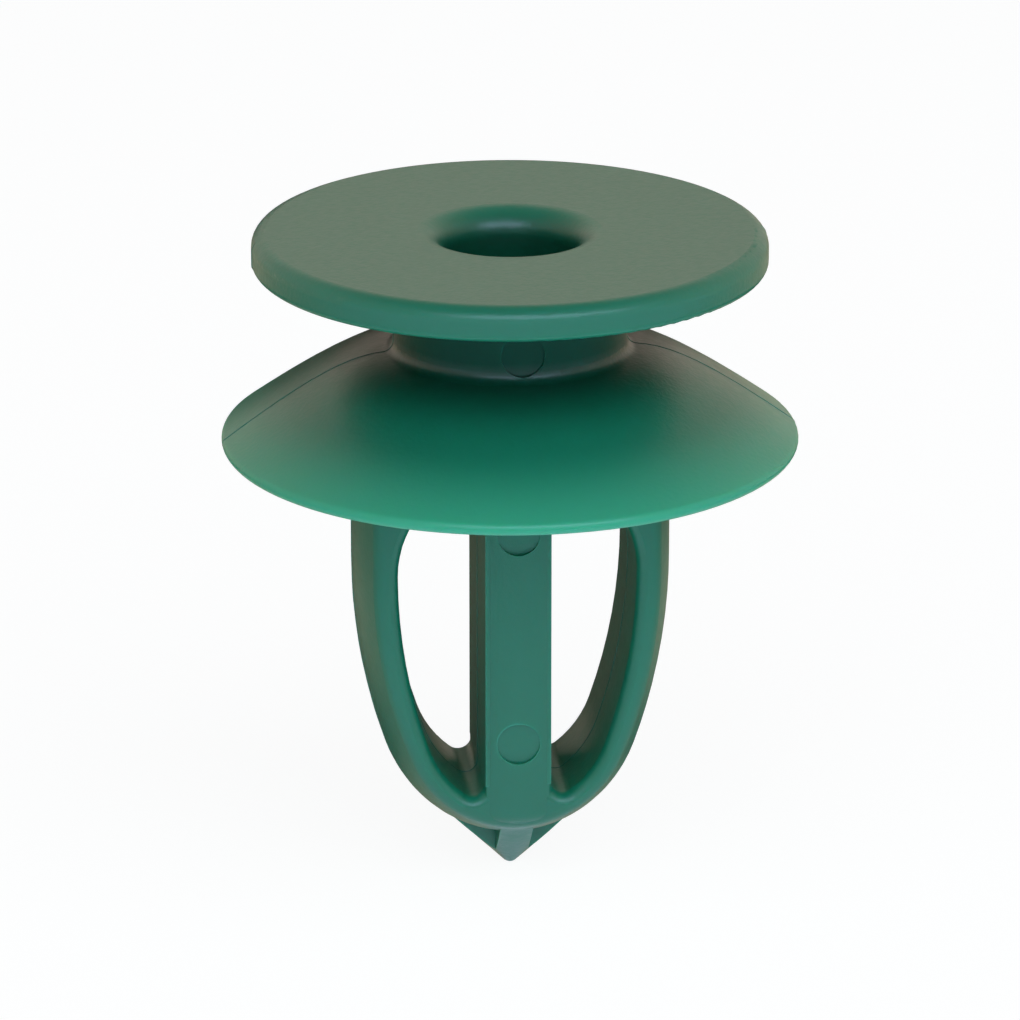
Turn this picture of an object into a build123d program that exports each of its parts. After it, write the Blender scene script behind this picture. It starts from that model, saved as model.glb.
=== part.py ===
from build123d import *
from math import acos, asin, atan2, cos, degrees, radians, sin, sqrt, tan
import os

# Retainer clip for vehicle trim, moulded in one piece from green nylon.
# A round head carries the trim bracket, a springy skirt seals on the panel,
# and a bowed two-legged cage with a centre post snaps into the panel's hole.
# Millimetres. The clip's axis is Z, head up, and its point hangs down.
# The origin is the centre of the plane that the skirt's rim lies in.
# The legs stand at plus and minus X, and the windows go through along Y.

# Head: a flat disc with rounded corners, and a blind bore with a broad lip in its middle
HEAD_DIAMETER = 17.8
HEAD_THICKNESS = 1.2
HEAD_TOP = 7.65
HEAD_TOP_ROUND = 0.5
HEAD_UNDER_ROUND = 0.25
BORE_DIAMETER = 4.7
BORE_FLOOR_WALL = 0.7
BORE_LIP_ROUND = 0.85
BORE_FLOOR_ROUND = 0.3

# Neck, between the head and the skirt
NECK_DIAMETER = 8.1
NECK_BASE = 3.44
NECK_TOP_ROUND = 0.25
NECK_BASE_ROUND = 0.4

# Skirt: level at the neck, then falling to a rounded rim, and hollow below
SKIRT_DIAMETER = 20.0
SKIRT_ROOT_WALL = 0.9
SKIRT_RIM_WALL = 0.5
SKIRT_RIM_SLOPE = 36.5
SKIRT_RIM_RUN = 3.85
SHOULDER_RUN = 1.35
HOLLOW_ROOT_RADIUS = 3.0
HOLLOW_SHOULDER_RUN = 2.1

# Cage: its outline is turned about the axis and cut to this depth
CAGE_DIAMETER = 11.1
CAGE_DEPTH = 5.3
CAGE_WIDEST = -4.04
CAGE_BOTTOM = -13.8
FLANK_RADIUS = 21.1
FOOT_RADIUS = 5.0
FOOT_TURN = 64.0
LEG_WALL = 1.4
LEG_ROUND = 0.5

# Centre post, whose turned front and back stand out from the legs by the crown
POST_WIDTH = 2.3
POST_CROWN = 0.18
POST_EDGE_ROUND = 0.15
POST_FOOT_INSET = 0.1

# Windows between the post and the legs, with rounded mouths front and back
WINDOW_ARCH_RADIUS = 3.9
WINDOW_CORNER_ROUND = 0.45
MOUTH_ROUND = 0.4
MOUTH_TURN = 80.0

# Point: two crossed fins cut to a cone
POINT_LENGTH = 1.89
POINT_HALF_ANGLE = 45.5
POINT_TIP_RADIUS = 0.3
FIN_THICKNESS = 1.15
FIN_ROOT = 0.6

# Round marks that the mould's ejector pins leave in the front
MARK_DIAMETER = 1.5
MARK_DEPTH = 0.15
NECK_MARK_HEIGHT = 4.4
POST_MARK_HEIGHTS = (-2.49, -10.2)

# Worked out from the sizes above
HEAD_RADIUS = HEAD_DIAMETER / 2
HEAD_UNDERSIDE = HEAD_TOP - HEAD_THICKNESS
BORE_RADIUS = BORE_DIAMETER / 2
NECK_RADIUS = NECK_DIAMETER / 2
SKIRT_RADIUS = SKIRT_DIAMETER / 2
LIP_RADIUS = SKIRT_RIM_WALL / 2
HOLLOW_ROOT = NECK_BASE - SKIRT_ROOT_WALL
BORE_FLOOR = HOLLOW_ROOT + BORE_FLOOR_WALL
STEM_TOP = NECK_BASE - SKIRT_ROOT_WALL / 2
CAGE_RADIUS = CAGE_DIAMETER / 2
HALF_DEPTH = CAGE_DEPTH / 2
POST_RADIUS = HALF_DEPTH + POST_CROWN
POINT_TIP = CAGE_BOTTOM - POINT_LENGTH
BEYOND = 1.0
NEAR = 0.01


def polar(centre, radius, angle):
    """The point at this radius and angle, in degrees, about a centre in the outline's plane."""
    turn = radians(angle)
    return (centre[0] + radius * cos(turn), centre[1] + radius * sin(turn))


def arc(centre, radius, start, end):
    """An arc about a centre, from one angle to another, in degrees."""
    middle = (start + end) / 2
    return ThreePointArc(
        polar(centre, radius, start), polar(centre, radius, middle), polar(centre, radius, end)
    )


def rounded(face, corners):
    """The face with each corner, given by its place, rounded to its radius."""
    for place, radius in corners:
        corner = face.vertices().sort_by_distance(place)[0]
        face = fillet(corner, radius)
    return face


def turned(face):
    """The solid that an outline of radius and height makes when it is turned about the axis."""
    return revolve(Plane.XZ * face, axis=Axis.Z)


def skirt_curve(root, rim, level_run):
    """One side of the skirt's wall: level where it leaves the root, at the rim's slope where it ends."""
    level = (root[0] + level_run, root[1])
    steep = polar(rim, SKIRT_RIM_RUN, 180 - SKIRT_RIM_SLOPE)
    return Bezier(root, level, steep, rim)


def skirt_top():
    """The upper side of the skirt, from the neck to where the lip's round starts."""
    return skirt_curve((NECK_RADIUS, NECK_BASE), lip_point(90 - SKIRT_RIM_SLOPE), SHOULDER_RUN)


def skirt_underside():
    """The lower side of the skirt, from its root to where the lip's round ends."""
    root = (HOLLOW_ROOT_RADIUS, HOLLOW_ROOT)
    return skirt_curve(root, lip_point(-90 - SKIRT_RIM_SLOPE), HOLLOW_SHOULDER_RUN)


def lip_point(angle):
    """A point on the round of the rim, which is tangent to the plane of the rim and to its diameter."""
    return polar((SKIRT_RADIUS - LIP_RADIUS, LIP_RADIUS), LIP_RADIUS, angle)


def make_top():
    """Head, bore, neck and hollow skirt, turned from one outline."""
    lip = ThreePointArc(
        lip_point(90 - SKIRT_RIM_SLOPE), lip_point(-SKIRT_RIM_SLOPE), lip_point(-90 - SKIRT_RIM_SLOPE)
    )
    outline = [
        Polyline(
            (0, HOLLOW_ROOT),
            (0, BORE_FLOOR),
            (BORE_RADIUS, BORE_FLOOR),
            (BORE_RADIUS, HEAD_TOP),
            (HEAD_RADIUS, HEAD_TOP),
            (HEAD_RADIUS, HEAD_UNDERSIDE),
            (NECK_RADIUS, HEAD_UNDERSIDE),
            (NECK_RADIUS, NECK_BASE),
        ),
        skirt_top(),
        lip,
        skirt_underside(),
        Line((HOLLOW_ROOT_RADIUS, HOLLOW_ROOT), (0, HOLLOW_ROOT)),
    ]
    corners = [
        ((HEAD_RADIUS, HEAD_TOP), HEAD_TOP_ROUND),
        ((HEAD_RADIUS, HEAD_UNDERSIDE), HEAD_UNDER_ROUND),
        ((BORE_RADIUS, HEAD_TOP), BORE_LIP_ROUND),
        ((BORE_RADIUS, BORE_FLOOR), BORE_FLOOR_ROUND),
        ((NECK_RADIUS, HEAD_UNDERSIDE), NECK_TOP_ROUND),
        ((NECK_RADIUS, NECK_BASE), NECK_BASE_ROUND),
    ]
    return turned(rounded(make_face(outline), corners))


def below_skirt():
    """All that lies under the skirt's upper side, which keeps the cage from growing through it."""
    floor = POINT_TIP - BEYOND
    top = skirt_top()
    outline = [
        Line((0, NECK_BASE), (NECK_RADIUS, NECK_BASE)),
        top,
        Polyline(top @ 1, (SKIRT_RADIUS, LIP_RADIUS), (SKIRT_RADIUS, floor), (0, floor), (0, NECK_BASE)),
    ]
    return turned(make_face(outline))


def flank_centre():
    """The centre of the long arc down the leg at plus X."""
    return (CAGE_RADIUS - FLANK_RADIUS, CAGE_WIDEST)


def flank_turn():
    """How far below level the long arc ends, for a foot whose own arc ends on the cage's flat bottom."""
    foot_height = CAGE_BOTTOM + FOOT_RADIUS * sin(radians(FOOT_TURN))
    return degrees(asin((CAGE_WIDEST - foot_height) / (FLANK_RADIUS - FOOT_RADIUS)))


def foot_centre():
    """The centre of the foot's arc, on the line where the long arc ends."""
    return polar(flank_centre(), FLANK_RADIUS - FOOT_RADIUS, -flank_turn())


def arch_centre():
    """The centre of the arc over the top of the window."""
    return (CAGE_RADIUS - LEG_WALL - WINDOW_ARCH_RADIUS, CAGE_WIDEST)


def corner_centre(centre, radius, side):
    """The centre of a corner's round, which touches the post and, inside, the arc about this centre."""
    x = POST_WIDTH / 2 + WINDOW_CORNER_ROUND
    drop = sqrt((radius - WINDOW_CORNER_ROUND) ** 2 - (x - centre[0]) ** 2)
    return (x, centre[1] + side * drop)


def bearing(start, end):
    """The angle, in degrees, of the line from one point to another."""
    return degrees(atan2(end[1] - start[1], end[0] - start[0]))


def cage_outline():
    """Half of the cage's outline, from the axis to the leg at plus X."""
    foot = arc(foot_centre(), FOOT_RADIUS, -flank_turn(), -FOOT_TURN)
    outline = [
        Polyline((0, STEM_TOP), (CAGE_RADIUS, STEM_TOP), (CAGE_RADIUS, CAGE_WIDEST)),
        arc(flank_centre(), FLANK_RADIUS, 0, -flank_turn()),
        foot,
        Polyline(foot @ 1, (0, CAGE_BOTTOM), (0, STEM_TOP)),
    ]
    return make_face(outline)


def window_sector(centre, radius, start, end):
    """One sector of a window, turned about a centre in the outline, with both its mouths rounded."""
    round_centre = (radius + MOUTH_ROUND, HALF_DEPTH - MOUTH_ROUND)
    inner = radius - WINDOW_CORNER_ROUND / 2
    waist = polar(round_centre, MOUTH_ROUND, 180)
    mouth = polar(round_centre, MOUTH_ROUND, 180 - MOUTH_TURN)
    beyond = (mouth[0] + BEYOND, HALF_DEPTH + BEYOND)
    outline = [
        Polyline((inner, 0), (radius, 0), waist),
        arc(round_centre, MOUTH_ROUND, 180, 180 - MOUTH_TURN),
        Polyline(mouth, beyond, (inner, beyond[1]), (inner, 0)),
    ]
    half = make_face(outline)
    sector = revolve(half + mirror(half, about=Plane.XZ), axis=Axis.Y, revolution_arc=start - end)
    return Pos(centre[0], 0, centre[1]) * Rot(0, -start, 0) * sector


def make_window():
    """The window between the post and the leg at plus X, cut from front to back, with rounded mouths."""
    side_radius = FLANK_RADIUS - LEG_WALL
    bottom_radius = FOOT_RADIUS - LEG_WALL
    low = corner_centre(foot_centre(), bottom_radius, -1)
    high = corner_centre(arch_centre(), WINDOW_ARCH_RADIUS, 1)
    low_turn = bearing(foot_centre(), low)
    high_turn = bearing(arch_centre(), high)
    runs = [
        (high, WINDOW_CORNER_ROUND, 180, high_turn),
        (arch_centre(), WINDOW_ARCH_RADIUS, high_turn, 0),
        (flank_centre(), side_radius, 0, -flank_turn()),
        (foot_centre(), bottom_radius, -flank_turn(), low_turn),
        (low, WINDOW_CORNER_ROUND, low_turn, -180),
    ]
    arcs = [arc(*run) for run in runs]
    outline = make_face([*arcs, Line(arcs[-1] @ 1, arcs[0] @ 0)])
    window = extrude(Plane.XZ * outline, HALF_DEPTH + BEYOND, both=True)
    for run in runs:
        window = window + window_sector(*run)
    return window


def make_legs():
    """The two legs and the foot between them, with rounded edges and their windows cut."""
    middle = (STEM_TOP + CAGE_BOTTOM) / 2
    slab = Box(2 * CAGE_DIAMETER, CAGE_DEPTH, STEM_TOP - CAGE_BOTTOM + BEYOND)
    legs = turned(cage_outline()) & (Pos(0, 0, middle) * slab)
    long_edges = [
        edge
        for edge in legs.edges()
        if abs(abs(edge.center().Y) - HALF_DEPTH) < NEAR and edge.center().Z < STEM_TOP - NEAR
    ]
    window = make_window()
    return fillet(long_edges, LEG_ROUND) - window - mirror(window, about=Plane.YZ)


def post_section():
    """The post seen from above: a round bar's front and back, cut to the post's width, with eased corners."""
    band = Circle(POST_RADIUS) & Rectangle(POST_WIDTH, 2 * CAGE_DEPTH)
    return fillet(band.vertices(), POST_EDGE_ROUND)


def make_post():
    """The centre post: turned, with a rounded foot that ends inside the legs', then cut to its section."""
    centre = foot_centre()
    radius = FOOT_RADIUS - POST_FOOT_INSET
    foot = arc(centre, radius, -degrees(acos((POST_RADIUS - centre[0]) / radius)), -FOOT_TURN)
    end = foot @ 1
    outline = [
        Polyline(end, (0, end.Y), (0, STEM_TOP), (POST_RADIUS, STEM_TOP), foot @ 0),
        foot,
    ]
    face = rounded(make_face(outline), [(foot @ 0, LEG_ROUND)])
    bar = extrude(Pos(0, 0, CAGE_BOTTOM) * post_section(), STEM_TOP - CAGE_BOTTOM + BEYOND)
    return turned(face) & bar


def make_point():
    """Two crossed fins with a cone's slope and a blunt tip, rooted in the bottom of the cage."""
    tip_centre = (0, POINT_TIP + POINT_TIP_RADIUS)
    root = CAGE_BOTTOM + FIN_ROOT
    tangent = polar(tip_centre, POINT_TIP_RADIUS, -POINT_HALF_ANGLE)
    spread = (root - tangent[1]) * tan(radians(POINT_HALF_ANGLE))
    top_corner = (tangent[0] + spread, root)
    outline = [
        arc(tip_centre, POINT_TIP_RADIUS, -90, -POINT_HALF_ANGLE),
        Polyline(tangent, top_corner, (0, root), (0, POINT_TIP)),
    ]
    cone = turned(make_face(outline))
    height = 2 * (root - POINT_TIP)
    fins = Box(2 * CAGE_RADIUS, FIN_THICKNESS, height) + Box(FIN_THICKNESS, 2 * CAGE_RADIUS, height)
    return cone & (Pos(0, 0, root) * fins)


def make_marks():
    """Shallow round flats left by ejector pins: one in the neck, two in the post's front."""
    places = [(POST_RADIUS, height) for height in POST_MARK_HEIGHTS]
    places.append((NECK_RADIUS, NECK_MARK_HEIGHT))
    pin = Rot(90, 0, 0) * Cylinder(MARK_DIAMETER / 2, BEYOND, align=(Align.CENTER, Align.CENTER, Align.MIN))
    return [Pos(0, MARK_DEPTH - front, height) * pin for front, height in places]


def make_clip():
    """The whole moulding, as one solid."""
    stem = (make_legs() + make_post() + make_point()) & below_skirt()
    clip = make_top() + stem
    for mark in make_marks():
        clip = clip - mark
    return clip.solid()


clip = make_clip()
clip.label = "retainer_clip"
os.makedirs("parts", exist_ok=True)
export_step(clip, "parts/retainer_clip.step")
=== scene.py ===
"""Looks of the retainer clip: one moulding in translucent green nylon, on a plain pale stage."""

import math

import bmesh
import bpy
import numpy as np
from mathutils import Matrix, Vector


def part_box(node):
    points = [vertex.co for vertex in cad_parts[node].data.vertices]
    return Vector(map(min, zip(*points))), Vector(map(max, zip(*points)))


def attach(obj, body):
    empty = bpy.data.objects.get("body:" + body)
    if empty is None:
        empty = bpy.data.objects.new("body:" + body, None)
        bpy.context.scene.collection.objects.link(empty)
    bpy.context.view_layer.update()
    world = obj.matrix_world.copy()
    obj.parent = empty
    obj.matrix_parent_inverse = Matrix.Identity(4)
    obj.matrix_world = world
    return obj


bl_info = {
    "name": "Retainer clip looks",
    "version": (1, 0, 0),
    "blender": (4, 5, 0),
    "location": "3D View > Sidebar > Clip",
    "description": "Finishes a moulded trim clip and sets up its stage",
    "category": "Object",
}

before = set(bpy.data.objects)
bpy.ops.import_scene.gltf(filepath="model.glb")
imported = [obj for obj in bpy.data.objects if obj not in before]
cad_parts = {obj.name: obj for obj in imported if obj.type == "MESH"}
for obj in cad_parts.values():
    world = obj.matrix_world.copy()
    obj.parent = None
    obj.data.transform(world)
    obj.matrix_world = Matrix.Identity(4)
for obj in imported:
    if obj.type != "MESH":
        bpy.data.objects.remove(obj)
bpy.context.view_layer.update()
CLIP_NODE = "retainer_clip"
MM = 0.001
TIP_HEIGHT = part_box(CLIP_NODE)[0].z

# Parting line: how its loops are found, set out and rounded, in metres and in points
MERGE_DISTANCE = 1e-7
WELD_DISTANCE = 1e-8
SHORTEST_LOOP = 8
SHORTEST_RUN = 16
FLASH_STEP = 0.0001
FLASH_SIDES = 6
FLASH_SEED = 7
FLASH_LEAST = 0.4
FLASH_SPREAD = 1.2
WAVER_POINTS = 9
TAPER_POINTS = 6

# Where the parting line is left out: the head's flat top, the bore and the hollow under the skirt
HEAD_FLAT_FROM = 0.0074
HEAD_FLAT_REACH = 0.0086
BORE_FROM = 0.0031
BORE_REACH = 0.0033
HOLLOW_FROM = -0.00005
HOLLOW_TO = 0.0035
HOLLOW_INNER = 0.0029

# Where painted glow and painted shade go on the nylon's colour and gloss: each pair holds the two reaches or
# heights between which they change
# Painted glow towards the skirt's thin outer edge: its reaches and heights
PAINTED_RIM_GLOW_REACH = (0.0074, 0.0102)
PAINTED_RIM_GLOW_HEIGHT = (0.0034, 0.0026)
# Painted shade: darker colour in the neck, under the head and over the skirt
PAINTED_NECK_SHADE_REACH = (0.0072, 0.0042)
PAINTED_NECK_SHADE_FOOT = (0.0016, 0.003)
PAINTED_NECK_SHADE_TOP = (0.0066, 0.0062)
# Painted shade: gloss turned down on the neck's wall above this height
PAINTED_SHADE_NECK_GLOSS_HEIGHT = (0.0036, 0.0041)
# Painted shade: darker colour down the bore
PAINTED_BORE_SHADE_REACH = (0.0033, 0.0026)
PAINTED_BORE_SHADE_MOUTH = (0.0076, 0.0066)
PAINTED_BORE_SHADE_FLOOR = (0.002, 0.003)

# The nylon's skin, and the light that passes into it
GRAIN_DETAIL = 3.0
GRAIN_STRENGTH = 0.5
GRAIN_DEPTH = 0.00002
MOTTLE_DETAIL = 2.0
MOTTLE_BAND = (0.35, 0.65)
NYLON_IOR = 1.53
PLAIN_SPECULAR = 0.5
SCATTER_REACH = (0.3, 1.0, 0.75)
SCATTER_SCALE = 0.0006

# The floor: its glow to the camera, and its painted reflection, a glow that only gloss sees, toned by heading
# from front to back and by distance
CARD_TONE = "#f7f7f5"
CARD_GLOW = 1.15
CARD_GLOW_SHARE = 0.8
PAINTED_REFLECTION_GLOW = 1.7
PAINTED_REFLECTION_HEADINGS = ((0.0, "#dcecff"), (0.3, "#d0dceb"), (0.55, "#b9ae9c"), (0.8, "#b9a88f"), (1.0, "#ad9e87"))
# Painted reflection: a dark ring about the clip in the floor's gloss glow
PAINTED_REFLECTION_RINGS = ((0.0, "#e2e2e2"), (0.36, "#e2e2e2"), (0.42, "#202020"), (0.58, "#202020"), (0.66, "#ffffff"))
PAINTED_REFLECTION_RINGS_REACH = (0.0, 0.1)
FLOOR_CORNERS = 96
# Painted shadow: a dark strip on the floor's painted reflection just behind the clip, its tone, half widths
# and start
PAINTED_SHADOW_TONE = "#3c3832"
PAINTED_SHADOW_HALF_WIDTH = (0.017, 0.009)
PAINTED_SHADOW_START = (0.0, 0.006)

# The dark card behind the clip: painted shade that only the clip's gloss sees
PAINTED_SHADE_CARD_TONE = "#1c1c1c"
PAINTED_SHADE_CARD_HALF_WIDTH = 0.022
PAINTED_SHADE_CARD_BEHIND = 0.06
PAINTED_SHADE_CARD_TOP = 0.014

# The surround: the light that it gives, and its tone in gloss by heading from front to back and by height
SURROUND_LIGHT_TONE = "#fff6ec"
SURROUND_LIGHT = 0.1
SURROUND_GLOSS = 1.08
SURROUND_HEADINGS = ((0.0, "#a8adb2"), (0.35, "#d8d2cc"), (0.6, "#f0ddcc"), (1.0, "#f3dfce"))
SURROUND_HEIGHTS = ((0.0, "#ffffff"), (0.6, "#ffffff"), (0.9, "#a0a0a0"), (1.0, "#a0a0a0"))

# Lamps: name, place, aim, width and height, power, colour and the kinds of ray that don't see them
CLIP_SEAT = (0.0, 0.0, 0.0)
BOUNCE_PLACE = (0.0, -0.036, TIP_HEIGHT + 0.0005)
BOUNCE_AIM = (0.0, -0.036, TIP_HEIGHT + 1.0005)
LAMPS = (
    ("key_lamp", (0.04, -0.355, 0.42), CLIP_SEAT, (1.0, 0.6), 2.5, "#dae6ee", ("glossy",)),
    ("window_lamp", (0.04, -0.39, 0.225), CLIP_SEAT, (0.6, 0.16), 1.5, "#c4ddff", ("diffuse",)),
    ("front_lamp", (0.03, -0.4, 0.03), CLIP_SEAT, (0.5, 0.12), 0.42, "#a8ccff", ("glossy",)),
    ("bounce_lamp", BOUNCE_PLACE, BOUNCE_AIM, (0.09, 0.056), 0.007, "#d5e6ff", ("glossy", "camera")),
)

SENSOR_WIDTH_MM = 36.0
CAMERA_NEAR = 0.01
CAMERA_FAR = 20.0

# Sockets of Blender's Mix node for colours
MIX_FROM = 6
MIX_TO = 7
MIX_RESULT = 2


def linear(hex_colour):
    """A colour written as sRGB hex, turned to linear red, green, blue and full alpha."""
    channels = [int(hex_colour[i : i + 2], 16) / 255 for i in (1, 3, 5)]
    return (*(c / 12.92 if c <= 0.04045 else ((c + 0.055) / 1.055) ** 2.4 for c in channels), 1.0)


def add_node(tree, kind, settings=None, links=None):
    """A node of this kind: settings go on its properties or input sockets, and links into its inputs."""
    node = tree.nodes.new(kind)
    for key, value in (settings or {}).items():
        if isinstance(key, str) and hasattr(node, key):
            setattr(node, key, value)
        else:
            node.inputs[key].default_value = value
    for key, source in (links or {}).items():
        tree.links.new(source, node.inputs[key])
    return node


def empty_tree(holder):
    """The node tree of a material or a world, cleared."""
    holder.use_nodes = True
    holder.node_tree.nodes.clear()
    return holder.node_tree


def between(tree, value, ends, results=(0.0, 1.0), smooth=False):
    """Goes from the first result to the second while the value goes from the first end to the second."""
    settings = {
        "interpolation_type": "SMOOTHSTEP" if smooth else "LINEAR",
        "From Min": ends[0],
        "From Max": ends[1],
        "To Min": results[0],
        "To Max": results[1],
    }
    return add_node(tree, "ShaderNodeMapRange", settings, {"Value": value}).outputs["Result"]


def combined(tree, operation, first, second):
    """Two values put through an operation such as MULTIPLY or MAXIMUM."""
    return add_node(tree, "ShaderNodeMath", {"operation": operation}, {0: first, 1: second}).outputs["Value"]


def vector_product(tree, first, second):
    """Two vectors or colours multiplied, part by part: the second is a node's or plain numbers."""
    settings = {"operation": "MULTIPLY"}
    links = {0: first}
    if isinstance(second, tuple):
        settings[1] = second
    else:
        links[1] = second
    return add_node(tree, "ShaderNodeVectorMath", settings, links).outputs[0]


def noise(tree, place, size_mm, detail):
    """A noise pattern from 0 to 1, with patches of this size in millimetres."""
    settings = {"Scale": 1 / (size_mm * MM), "Detail": detail}
    return add_node(tree, "ShaderNodeTexNoise", settings, {"Vector": place}).outputs["Fac"]


def level_reach(tree, place):
    """The level part of a place, with its height taken out, and how long it is."""
    level = vector_product(tree, place, (1, 1, 0))
    reach = add_node(tree, "ShaderNodeVectorMath", {"operation": "LENGTH"}, {0: level})
    return level, reach.outputs["Value"]


def parts_of(tree, vector):
    """The X, Y and Z of a vector."""
    return add_node(tree, "ShaderNodeSeparateXYZ", links={0: vector}).outputs


def ramp_colour(tree, value, stops):
    """The colour that a ramp gives for a value: a stop is a place from 0 to 1 and an sRGB hex colour."""
    ramp = add_node(tree, "ShaderNodeValToRGB", links={"Fac": value})
    elements = ramp.color_ramp.elements
    while len(elements) < len(stops):
        elements.new(1.0)
    for element, (place, colour) in zip(elements, stops):
        element.position = place
        element.color = linear(colour)
    return ramp.outputs["Color"]


def heading_colour(tree, y_part, stops):
    """The colour that a ramp gives for a heading: 0 is straight in front and 1 is straight behind."""
    return ramp_colour(tree, between(tree, y_part, (-1.0, 1.0)), stops)


def mixed_colour(tree, factor, start, end):
    """A colour that goes from the start, a hex colour or a node's, to a hex colour as the factor rises."""
    settings = {"data_type": "RGBA", MIX_TO: linear(end)}
    links = {0: factor}
    if isinstance(start, str):
        settings[MIX_FROM] = linear(start)
    else:
        links[MIX_FROM] = start
    return add_node(tree, "ShaderNodeMix", settings, links).outputs[MIX_RESULT]


def mixed_shader(tree, factor, first, second):
    """The first node's shader where the factor, a number or a node's, is 0, and the second's where 1."""
    settings = {}
    links = {1: first.outputs[0], 2: second.outputs[0]}
    if isinstance(factor, float):
        settings["Fac"] = factor
    else:
        links["Fac"] = factor
    return add_node(tree, "ShaderNodeMixShader", settings, links)


class ClipFinishSettings(bpy.types.PropertyGroup):
    """Colours and surface of the moulding."""

    body_hex: bpy.props.StringProperty(
        name="Nylon", description="Colour of the dyed nylon", default="#1b8b6c"
    )
    # Painted glow: the paler colour painted towards the skirt's thin outer edge
    painted_rim_glow_hex: bpy.props.StringProperty(
        name="Rim", description="Colour where the skirt is thin", default="#3cbd95"
    )
    # Painted shade: the darker colour painted in the neck and the bore
    painted_shade_hex: bpy.props.StringProperty(
        name="Root", description="Colour where the neck is thick", default="#0f5c46"
    )
    roughness: bpy.props.FloatProperty(
        name="Roughness", description="Roughness of the moulded skin", default=0.36, min=0.0, max=1.0
    )
    grain_mm: bpy.props.FloatProperty(
        name="Grain", description="Size of the mould's texture in millimetres", default=0.16, min=0.02
    )
    mottle_mm: bpy.props.FloatProperty(
        name="Mottle", description="Size of the patches of gloss in millimetres", default=0.32, min=0.02
    )
    mottle: bpy.props.FloatProperty(
        name="Mottle strength", description="How far the roughness strays", default=0.02, min=0.0
    )
    # Painted shade: how far the neck wall's gloss is turned down
    painted_shade_neck_specular: bpy.props.FloatProperty(
        name="Neck gloss", description="How strongly the neck's wall mirrors", default=0.12, min=0.0, max=1.0
    )
    flash_height: bpy.props.FloatProperty(
        name="Flash",
        description="How far the parting line stands out",
        default=0.00002,
        min=0.0,
        unit="LENGTH",
    )


class ClipStageSettings(bpy.types.PropertyGroup):
    """Camera and floor."""

    azimuth: bpy.props.FloatProperty(
        name="Azimuth",
        description="Turn of the camera about the clip",
        default=math.radians(-6.4),
        subtype="ANGLE",
    )
    elevation: bpy.props.FloatProperty(
        name="Elevation",
        description="Height of the camera over level",
        default=math.radians(19.35),
        subtype="ANGLE",
    )
    distance: bpy.props.FloatProperty(
        name="Distance", description="Camera to target", default=0.25, unit="LENGTH"
    )
    lens: bpy.props.FloatProperty(name="Lens", description="Focal length in millimetres", default=253.43)
    target_height: bpy.props.FloatProperty(
        name="Target height",
        description="Height of the point that the camera looks at",
        default=-0.002531,
        unit="LENGTH",
    )
    floor_radius: bpy.props.FloatProperty(
        name="Floor radius", description="Radius of the round floor", default=1.2, unit="LENGTH"
    )


def nylon_material(settings):
    """Nylon, dyed green and injection moulded in a fine-textured steel mould.

    Its skin is half glossy and faintly uneven, so that reflections are broad and soft. Light passes some way
    into it. Towards the skirt's thin outer edge a paler colour is painted on as painted glow, for the light
    through the thin wall and the head's shade falling away; the neck and the bore have a darker colour
    painted on as painted shade, and the neck's wall has its gloss turned down as painted shade, for the head
    and the skirt that shade it.
    """
    material = bpy.data.materials.new("green_nylon_moulded")
    tree = empty_tree(material)
    place = add_node(tree, "ShaderNodeTexCoord").outputs["Object"]
    reach = level_reach(tree, place)[1]
    height = parts_of(tree, place)["Z"]

    # Painted glow: paler colour towards the skirt's thin outer edge, standing in for light through the thin
    # wall and for the head's shade falling away
    painted_rim_glow = combined(
        tree, "MULTIPLY", between(tree, reach, PAINTED_RIM_GLOW_REACH, smooth=True), between(tree, height, PAINTED_RIM_GLOW_HEIGHT)
    )
    # Painted shade: darker colour in the neck under the head, and down the bore
    neck = combined(tree, "MULTIPLY", between(tree, height, PAINTED_NECK_SHADE_FOOT), between(tree, height, PAINTED_NECK_SHADE_TOP))
    root = combined(tree, "MULTIPLY", between(tree, reach, PAINTED_NECK_SHADE_REACH, smooth=True), neck)
    painted_bore_shade_top = combined(tree, "MULTIPLY", between(tree, reach, PAINTED_BORE_SHADE_REACH), between(tree, height, PAINTED_BORE_SHADE_MOUTH))
    bore = combined(tree, "MULTIPLY", painted_bore_shade_top, between(tree, height, PAINTED_BORE_SHADE_FLOOR))
    painted_shade_colour = mixed_colour(tree, combined(tree, "MAXIMUM", root, bore), settings.body_hex, settings.painted_shade_hex)
    colour = mixed_colour(tree, painted_rim_glow, painted_shade_colour, settings.painted_rim_glow_hex)

    grain = noise(tree, place, settings.grain_mm, GRAIN_DETAIL)
    bump = add_node(
        tree, "ShaderNodeBump", {"Strength": GRAIN_STRENGTH, "Distance": GRAIN_DEPTH}, {"Height": grain}
    )
    mottle = noise(tree, place, settings.mottle_mm, MOTTLE_DETAIL)
    roughness_ends = (settings.roughness - settings.mottle, settings.roughness + settings.mottle)
    roughness = between(tree, mottle, MOTTLE_BAND, roughness_ends)
    # Painted shade: gloss turned down on the neck's wall, in place of the shade of the head and the skirt
    wall = combined(tree, "MULTIPLY", root, between(tree, height, PAINTED_SHADE_NECK_GLOSS_HEIGHT))
    specular = between(tree, wall, (0.0, 1.0), (PLAIN_SPECULAR, settings.painted_shade_neck_specular))

    shader = add_node(
        tree,
        "ShaderNodeBsdfPrincipled",
        {
            "IOR": NYLON_IOR,
            "Subsurface Weight": 1.0,
            "Subsurface Radius": SCATTER_REACH,
            "Subsurface Scale": SCATTER_SCALE,
        },
        {
            "Base Color": colour,
            "Normal": bump.outputs["Normal"],
            "Roughness": roughness,
            "Specular IOR Level": specular,
        },
    )
    add_node(tree, "ShaderNodeOutputMaterial", links={"Surface": shader.outputs["BSDF"]})
    return material


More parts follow.
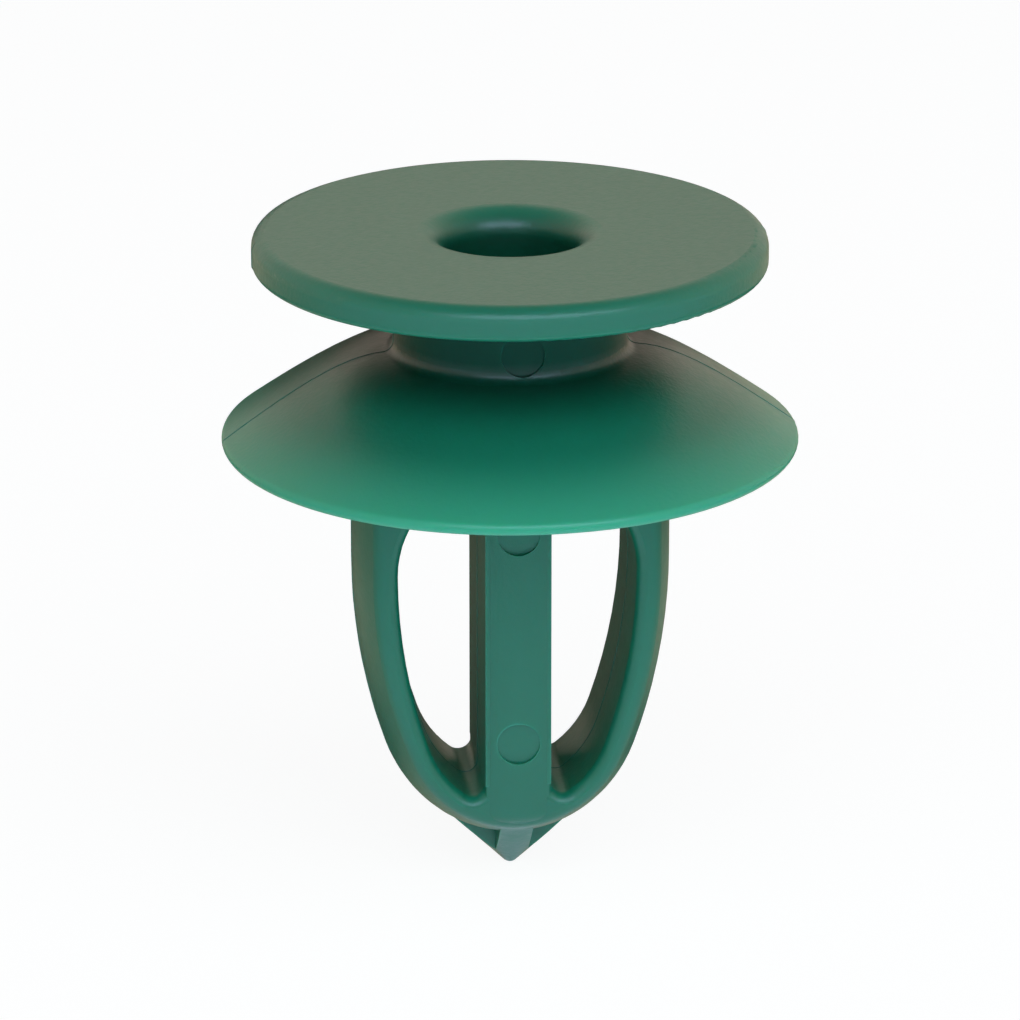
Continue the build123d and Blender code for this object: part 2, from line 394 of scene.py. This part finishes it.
def section_loops(source):
    """The closed loops in which the plane through the clip's axis and legs cuts a merged copy of a mesh."""
    work = bmesh.new()
    work.from_mesh(source)
    bmesh.ops.remove_doubles(work, verts=work.verts, dist=MERGE_DISTANCE)
    bmesh.ops.bisect_plane(
        work,
        geom=work.verts[:] + work.edges[:] + work.faces[:],
        dist=MERGE_DISTANCE,
        plane_co=(0, 0, 0),
        plane_no=(0, 1, 0),
        clear_inner=True,
        clear_outer=True,
    )
    loops = []
    left = set(work.verts)
    for start in work.verts:
        if start not in left:
            continue
        vert = start
        left.discard(vert)
        loop = [vert.co.copy()]
        while True:
            ahead = [edge.other_vert(vert) for edge in vert.link_edges]
            ahead = [other for other in ahead if other in left]
            if not ahead:
                break
            vert = ahead[0]
            left.discard(vert)
            loop.append(vert.co.copy())
        if len(loop) > SHORTEST_LOOP:
            loops.append(np.array(loop))
    work.free()
    return loops


def even_points(points, step):
    """A closed loop of points, measured along its length and set out again at even steps."""
    closed = np.vstack([points, points[:1]])
    length = np.concatenate([[0], np.cumsum(np.linalg.norm(np.diff(closed, axis=0), axis=1))])
    count = max(SHORTEST_LOOP, int(length[-1] / step))
    along = np.linspace(0, length[-1], count, endpoint=False)
    return np.stack([np.interp(along, length, closed[:, k]) for k in range(3)], axis=1)


def underside(points, hollow):
    """Which of the hollow's points lie on its lower side: at the same reach, another point is higher up."""
    side = np.sign(points[:, 0]).astype(int)
    column = np.round(np.abs(points[:, 0]) / FLASH_STEP).astype(int) * side
    columns, place = np.unique(column, return_inverse=True)
    top = np.full(len(columns), -1.0)
    np.maximum.at(top, place[hollow], points[hollow, 2])
    return hollow & (points[:, 2] < top[place] - 2 * FLASH_STEP)


def bare(points):
    """Which points of a loop carry no flash: on the head's flat top, in the bore and under the skirt."""
    reach = np.abs(points[:, 0])
    height = points[:, 2]
    head_flat = (height > HEAD_FLAT_FROM) & (reach < HEAD_FLAT_REACH)
    bore = (height > BORE_FROM) & (reach < BORE_REACH)
    hollow = (height > HOLLOW_FROM) & (height < HOLLOW_TO) & (reach > HOLLOW_INNER)
    return head_flat | bore | underside(points, hollow)


def runs_of(keep):
    """The places in each run of true values round a closed loop."""
    if keep.all():
        return [np.arange(len(keep) + 1) % len(keep)]
    start = int(np.flatnonzero(~keep)[0])
    turned = np.roll(keep, -start)
    edges = np.flatnonzero(np.diff(np.concatenate([[False], turned, [False]]).astype(int)))
    return [(np.arange(a, b) + start) % len(keep) for a, b in zip(edges[::2], edges[1::2])]


def ridge_tube(path, radius, rng):
    """A thin tube about a path in the plane of the legs.

    Each ring is a circle square to the path. Its radius wavers with a running mean of random numbers, and
    falls to nothing at the path's two ends as the square root of the distance from them.
    """
    tangent = np.gradient(path, axis=0)
    tangent /= np.linalg.norm(tangent, axis=1)[:, None]
    across = np.stack([tangent[:, 2], np.zeros(len(path)), -tangent[:, 0]], axis=1)
    draws = rng.random(len(path) + WAVER_POINTS - 1)
    waver = np.convolve(draws, np.ones(WAVER_POINTS) / WAVER_POINTS, mode="valid")
    from_start = np.arange(len(path))
    ends = np.clip(np.minimum(from_start, from_start[::-1]) / TAPER_POINTS, 0, 1)
    reach = radius * (FLASH_LEAST + FLASH_SPREAD * waver) * np.sqrt(ends)
    turn = np.linspace(0, 2 * np.pi, FLASH_SIDES, endpoint=False)
    ring = np.cos(turn)[None, :, None] * across[:, None, :]
    ring = ring + np.sin(turn)[None, :, None] * np.array((0.0, 1.0, 0.0))
    return path[:, None, :] + reach[:, None, None] * ring


def grid_faces(rows, columns, first):
    """The quads of a grid whose columns close on themselves, counted from the first point."""
    row, column = np.meshgrid(np.arange(rows - 1), np.arange(columns), indexing="ij")
    here = first + row * columns + column
    right = first + row * columns + (column + 1) % columns
    return np.stack([here, right, right + columns, here + columns], axis=-1).reshape(-1, 4)


def new_piece(name, points, faces):
    """An object in the scene, with a mesh of these points and faces."""
    mesh = bpy.data.meshes.new(name)
    mesh.from_pydata(points, [], faces)
    piece = bpy.data.objects.new(name, mesh)
    bpy.context.scene.collection.objects.link(piece)
    return piece


def close_and_turn_out(mesh):
    """Weld the ends of the tubes, and turn every face outwards."""
    work = bmesh.new()
    work.from_mesh(mesh)
    bmesh.ops.remove_doubles(work, verts=work.verts, dist=WELD_DISTANCE)
    bmesh.ops.recalc_face_normals(work, faces=work.faces)
    work.to_mesh(mesh)
    work.free()


class CLIP_OT_finish_moulding(bpy.types.Operator):
    """Give the moulding its nylon finish"""

    bl_idname = "clip.finish_moulding"
    bl_label = "Finish moulding"

    def execute(self, context):
        material = nylon_material(context.scene.clip_finish)
        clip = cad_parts[CLIP_NODE]
        clip.data.materials.clear()
        clip.data.materials.append(material)
        return {"FINISHED"}


class CLIP_OT_add_parting_line(bpy.types.Operator):
    """Add the thin line of flash where the two halves of the mould met"""

    bl_idname = "clip.add_parting_line"
    bl_label = "Add parting line"

    def execute(self, context):
        flash_height = context.scene.clip_finish.flash_height
        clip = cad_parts[CLIP_NODE]
        rng = np.random.default_rng(FLASH_SEED)
        points = []
        faces = []
        first = 0
        for loop in section_loops(clip.data):
            even = even_points(loop, FLASH_STEP)
            for run in runs_of(~bare(even)):
                if len(run) < SHORTEST_RUN:
                    continue
                tube = ridge_tube(even[run], flash_height, rng)
                points.append(tube.reshape(-1, 3))
                faces.append(grid_faces(len(run), FLASH_SIDES, first))
                first += len(points[-1])
        if not points:
            raise RuntimeError("the clip's mesh has no outline in the plane of its legs")
        piece = new_piece("parting_line", np.vstack(points).tolist(), np.vstack(faces).tolist())
        close_and_turn_out(piece.data)
        piece.data.shade_smooth()
        piece.data.materials.append(clip.data.materials[0])
        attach(piece, "root")
        return {"FINISHED"}


def floor_material():
    """White card, cut from a matt sheet.

    It looks white to the camera and keeps the clip's soft shadow. To the clip's gloss it shows a painted
    reflection, a glow with no lamp behind it: bright in front, warm at the sides, with a painted shadow just
    behind the clip and a painted dark ring about it, which give the clip its darker bands.
    """
    material = bpy.data.materials.new("white_card_matt")
    tree = empty_tree(material)
    rays = add_node(tree, "ShaderNodeLightPath").outputs
    card = add_node(tree, "ShaderNodeBsdfDiffuse", {"Color": linear(CARD_TONE)})
    glow = add_node(tree, "ShaderNodeEmission", {"Color": linear("#ffffff"), "Strength": CARD_GLOW})
    lit = mixed_shader(tree, CARD_GLOW_SHARE, card, glow)

    place = add_node(tree, "ShaderNodeTexCoord").outputs["Object"]
    level, reach = level_reach(tree, place)
    heading = add_node(tree, "ShaderNodeVectorMath", {"operation": "NORMALIZE"}, {0: level}).outputs[0]
    # Painted reflection: a glow seen only in gloss, toned by heading, with a painted dark ring about the clip
    painted_reflection_rings = ramp_colour(tree, between(tree, reach, PAINTED_REFLECTION_RINGS_REACH), PAINTED_REFLECTION_RINGS)
    tone = vector_product(tree, heading_colour(tree, parts_of(tree, heading)["Y"], PAINTED_REFLECTION_HEADINGS), painted_reflection_rings)
    spread = parts_of(tree, place)
    aside = add_node(tree, "ShaderNodeMath", {"operation": "ABSOLUTE"}, {0: spread["X"]}).outputs["Value"]
    # Painted shadow of the clip, just behind it, in the floor's painted reflection
    shade = combined(
        tree, "MULTIPLY", between(tree, aside, PAINTED_SHADOW_HALF_WIDTH), between(tree, spread["Y"], PAINTED_SHADOW_START)
    )
    shaded = mixed_colour(tree, shade, tone, PAINTED_SHADOW_TONE)
    # The painted reflection glows with no lamp, for gloss rays only
    painted_reflection = add_node(tree, "ShaderNodeEmission", {"Strength": PAINTED_REFLECTION_GLOW}, {"Color": shaded})

    bounced = mixed_shader(tree, rays["Is Glossy Ray"], card, painted_reflection)
    seen = mixed_shader(tree, rays["Is Camera Ray"], bounced, lit)
    side = add_node(tree, "ShaderNodeNewGeometry").outputs["Backfacing"]
    sided = mixed_shader(tree, side, seen, add_node(tree, "ShaderNodeBsdfTransparent"))
    add_node(tree, "ShaderNodeOutputMaterial", links={"Surface": sided.outputs["Shader"]})
    return material


def add_floor(radius):
    """A flat round floor at the height of the clip's tip: points at equal angles on a circle."""
    turn = np.linspace(0, 2 * np.pi, FLOOR_CORNERS, endpoint=False)
    height = np.full(FLOOR_CORNERS, TIP_HEIGHT)
    points = np.stack([radius * np.cos(turn), radius * np.sin(turn), height], axis=1)
    floor = new_piece("floor", points.tolist(), [list(range(FLOOR_CORNERS))])
    floor.data.materials.append(floor_material())


def hide_from(piece, rays):
    """Hide a piece from these kinds of ray."""
    for ray in rays:
        setattr(piece, "visible_" + ray, False)


def painted_shade_card_material():
    """Black card with a matt skin, seen only in the clip's gloss: painted shade that gives its reflections a
    dark place behind it.
    """
    material = bpy.data.materials.new("black_card_painted_shade")
    tree = empty_tree(material)
    dull = add_node(tree, "ShaderNodeBsdfDiffuse", {"Color": linear(PAINTED_SHADE_CARD_TONE)})
    add_node(tree, "ShaderNodeOutputMaterial", links={"Surface": dull.outputs["BSDF"]})
    return material


def add_painted_shade_card():
    """An upright dark card behind the clip, seen only in its gloss as painted shade: the four corners of a
    rectangle.
    """
    left, right = -PAINTED_SHADE_CARD_HALF_WIDTH, PAINTED_SHADE_CARD_HALF_WIDTH
    low, high = TIP_HEIGHT, PAINTED_SHADE_CARD_TOP
    corners = [(x, PAINTED_SHADE_CARD_BEHIND, z) for x, z in ((left, low), (right, low), (right, high), (left, high))]
    painted_shade_flag = new_piece("painted_shade_card", corners, [(0, 1, 2, 3)])
    painted_shade_flag.data.materials.append(painted_shade_card_material())
    hide_from(painted_shade_flag, ("camera", "diffuse", "shadow", "transmission"))


def aimed(place, target):
    """The turn that points a lamp's or a camera's view from a place at a target."""
    return (Vector(target) - Vector(place)).to_track_quat("-Z", "Y").to_euler()


def add_lamp(name, place, target, size, power, colour, unseen_by):
    """An area lamp of this width and height at a place, aimed at the target."""
    data = bpy.data.lights.new(name, "AREA")
    data.shape = "RECTANGLE"
    data.size, data.size_y = size
    data.energy = power
    data.color = linear(colour)[:3]
    lamp = bpy.data.objects.new(name, data)
    lamp.location = place
    lamp.rotation_euler = aimed(place, target)
    hide_from(lamp, unseen_by)
    bpy.context.scene.collection.objects.link(lamp)


def add_surround():
    """A plain surround: white to the camera, warm at the back and dim overhead in gloss, and a weak light."""
    world = bpy.data.worlds.new("white_surround")
    tree = empty_tree(world)
    rays = add_node(tree, "ShaderNodeLightPath").outputs
    direction = parts_of(tree, add_node(tree, "ShaderNodeTexCoord").outputs["Generated"])
    headings = heading_colour(tree, direction["Y"], SURROUND_HEADINGS)
    tone = vector_product(tree, headings, ramp_colour(tree, direction["Z"], SURROUND_HEIGHTS))
    light_settings = {"Color": linear(SURROUND_LIGHT_TONE), "Strength": SURROUND_LIGHT}
    light = add_node(tree, "ShaderNodeBackground", light_settings)
    gloss = add_node(tree, "ShaderNodeBackground", {"Strength": SURROUND_GLOSS}, {"Color": tone})
    white = add_node(tree, "ShaderNodeBackground", {"Color": linear("#ffffff"), "Strength": 1.0})
    lit = mixed_shader(tree, rays["Is Glossy Ray"], light, gloss)
    seen = mixed_shader(tree, rays["Is Camera Ray"], lit, white)
    add_node(tree, "ShaderNodeOutputWorld", links={"Surface": seen.outputs["Shader"]})
    bpy.context.scene.world = world


def add_camera(stage):
    """The camera at its azimuth, elevation and distance from the target, and looking at it."""
    target = Vector((0.0, 0.0, stage.target_height))
    level = math.cos(stage.elevation) * stage.distance
    rise = math.sin(stage.elevation) * stage.distance
    place = target + Vector((math.sin(stage.azimuth) * level, -math.cos(stage.azimuth) * level, rise))
    data = bpy.data.cameras.new("camera")
    data.lens = stage.lens
    data.sensor_width = SENSOR_WIDTH_MM
    data.clip_start = CAMERA_NEAR
    data.clip_end = CAMERA_FAR
    camera = bpy.data.objects.new("camera", data)
    camera.location = place
    camera.rotation_euler = aimed(place, target)
    bpy.context.scene.collection.objects.link(camera)
    bpy.context.scene.camera = camera


class CLIP_OT_build_stage(bpy.types.Operator):
    """Set up the camera, the floor, the lamps and the surround"""

    bl_idname = "clip.build_stage"
    bl_label = "Build stage"

    def execute(self, context):
        stage = context.scene.clip_stage
        add_floor(stage.floor_radius)
        add_surround()
        add_camera(stage)
        for lamp in LAMPS:
            add_lamp(*lamp)
        # Painted shade: a dark card seen only in the clip's gloss
        add_painted_shade_card()
        context.scene.view_settings.view_transform = "Standard"
        return {"FINISHED"}


class CLIP_PT_looks(bpy.types.Panel):
    """Lists the settings and the steps that build the clip's looks"""

    bl_idname = "CLIP_PT_looks"
    bl_label = "Retainer clip"
    bl_space_type = "VIEW_3D"
    bl_region_type = "UI"
    bl_category = "Clip"

    def draw(self, context):
        layout = self.layout
        for settings in (context.scene.clip_finish, context.scene.clip_stage):
            for name in settings.__annotations__:
                layout.prop(settings, name)
        for step in STEPS:
            layout.operator(step.bl_idname)


STEPS = (CLIP_OT_finish_moulding, CLIP_OT_add_parting_line, CLIP_OT_build_stage)
SETTINGS = (ClipFinishSettings, ClipStageSettings)


def register():
    for entry in (*SETTINGS, *STEPS, CLIP_PT_looks):
        bpy.utils.register_class(entry)
    bpy.types.Scene.clip_finish = bpy.props.PointerProperty(type=ClipFinishSettings)
    bpy.types.Scene.clip_stage = bpy.props.PointerProperty(type=ClipStageSettings)


def unregister():
    del bpy.types.Scene.clip_stage
    del bpy.types.Scene.clip_finish
    for entry in reversed((*SETTINGS, *STEPS, CLIP_PT_looks)):
        bpy.utils.unregister_class(entry)


def main():
    register()
    bpy.ops.clip.finish_moulding()
    bpy.ops.clip.add_parting_line()
    bpy.ops.clip.build_stage()


if __name__ == "__main__":
    main()
